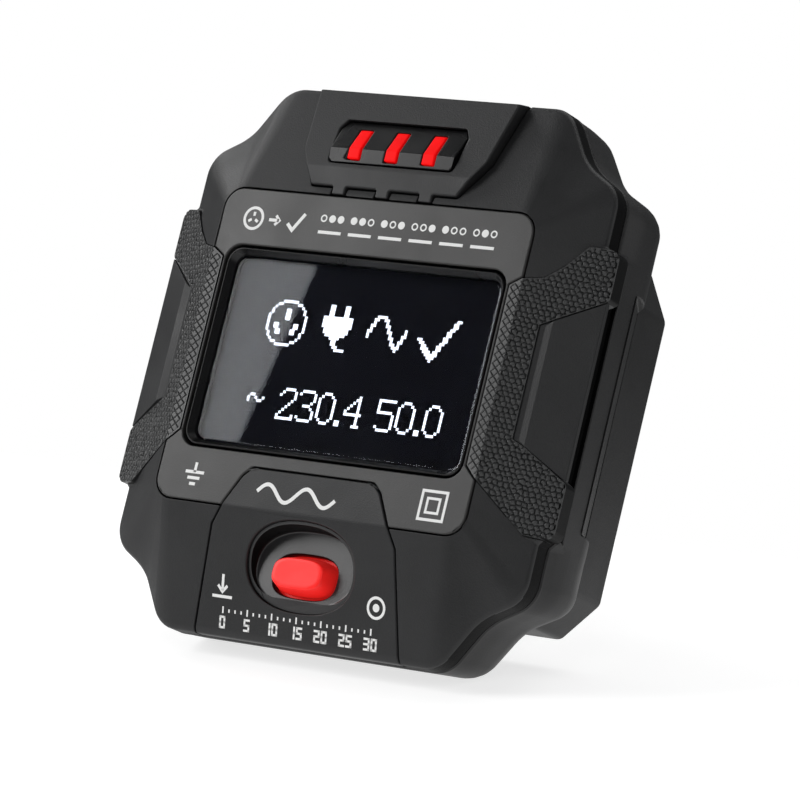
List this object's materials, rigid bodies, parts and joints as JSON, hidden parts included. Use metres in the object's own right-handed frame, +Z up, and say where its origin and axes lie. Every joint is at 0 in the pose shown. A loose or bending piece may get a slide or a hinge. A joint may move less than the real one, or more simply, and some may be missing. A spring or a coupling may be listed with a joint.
{
  "type": "outlet tester plug",
  "caption": "Plug-in mains socket tester: a faceted black housing with a screen, indicator lights, rubber side grips and a sprung test button, and a flat-pin plug on its back.",
  "frame": {"origin": "middle of the plug face, the flat rear wall that the pins come out of", "axes": "+Y out of the plug face, along the pins; the display faces -Y; +Z up as plugged in; +X to the right of a person reading the display"},
  "size_m": [0.0744, 0.0494, 0.0802],
  "materials": {
    "casing": "fine spark texture, dark charcoal",
    "plate": "fine spark texture, warm charcoal",
    "insert": "satin black",
    "grip": "pebbled grip texture",
    "button_red": "satin red",
    "light_red": "translucent red light guide",
    "bezel": "satin black",
    "window": "clear dark-tinted window",
    "display": "black panel with lit white dots",
    "board": "green solder mask",
    "component_black": "moulded black",
    "ceramic": "white ceramic",
    "film_yellow": "yellow box capacitor",
    "sleeve_blue": "dark blue sleeve",
    "ribbon": "amber film",
    "pin_metal": "nickel plated",
    "screw_steel": "zinc plated",
    "carrier": "black insulating plastic",
    "brown_wire": "brown insulation",
    "blue_wire": "blue insulation",
    "green_wire": "green insulation"
  },
  "bodies": {
    "housing": {"front_cover": "casing", "rear_cover": "casing", "face_plate": "plate", "display_bezel": "bezel", "display_window": "window", "display_module": "display", "display_cable": "ribbon", "indicator_cover": "casing", "indicator_insert": "insert", "light_pipe_left": "light_red", "light_pipe_centre": "light_red", "light_pipe_right": "light_red", "led_left": "light_red", "led_centre": "light_red", "led_right": "light_red", "grip_left": "grip", "grip_right": "grip", "button_panel": "casing", "button_collar": "plate", "switch_body": "component_black", "main_board": "board", "controller_chip": "component_black", "load_resistor": "ceramic", "film_capacitor": "film_yellow", "electrolytic_capacitor": "sleeve_blue", "test_relay": "component_black", "fuse": "ceramic", "pin_carrier": "carrier", "carrier_screw_1": "screw_steel", "carrier_screw_2": "screw_steel", "neutral_pin": "pin_metal", "live_pin": "pin_metal", "earth_pin": "pin_metal", "case_screw_1": "screw_steel", "case_screw_2": "screw_steel", "case_screw_3": "screw_steel", "case_screw_4": "screw_steel", "live_wire": "brown_wire", "neutral_wire": "blue_wire", "earth_wire": "green_wire"},
    "button": {"test_button": "button_red"},
    "plunger": {"switch_plunger": "component_black"}
  },
  "joints": [
    {"name": "test_button_press", "type": "slide", "parent": "housing", "child": "button", "axis": [0, 1, 0], "range_m": [0, 0.0012], "stiffness_N_per_m": 1500, "springref_m": -0.001},
    {"name": "switch_plunger_press", "type": "slide", "parent": "housing", "child": "plunger", "axis": [0, 1, 0], "range_m": [0, 0.0015]}
  ],
  "couplings": [
    {"joint": "switch_plunger_press", "follows": "test_button_press", "ratio": 1}
  ]
}
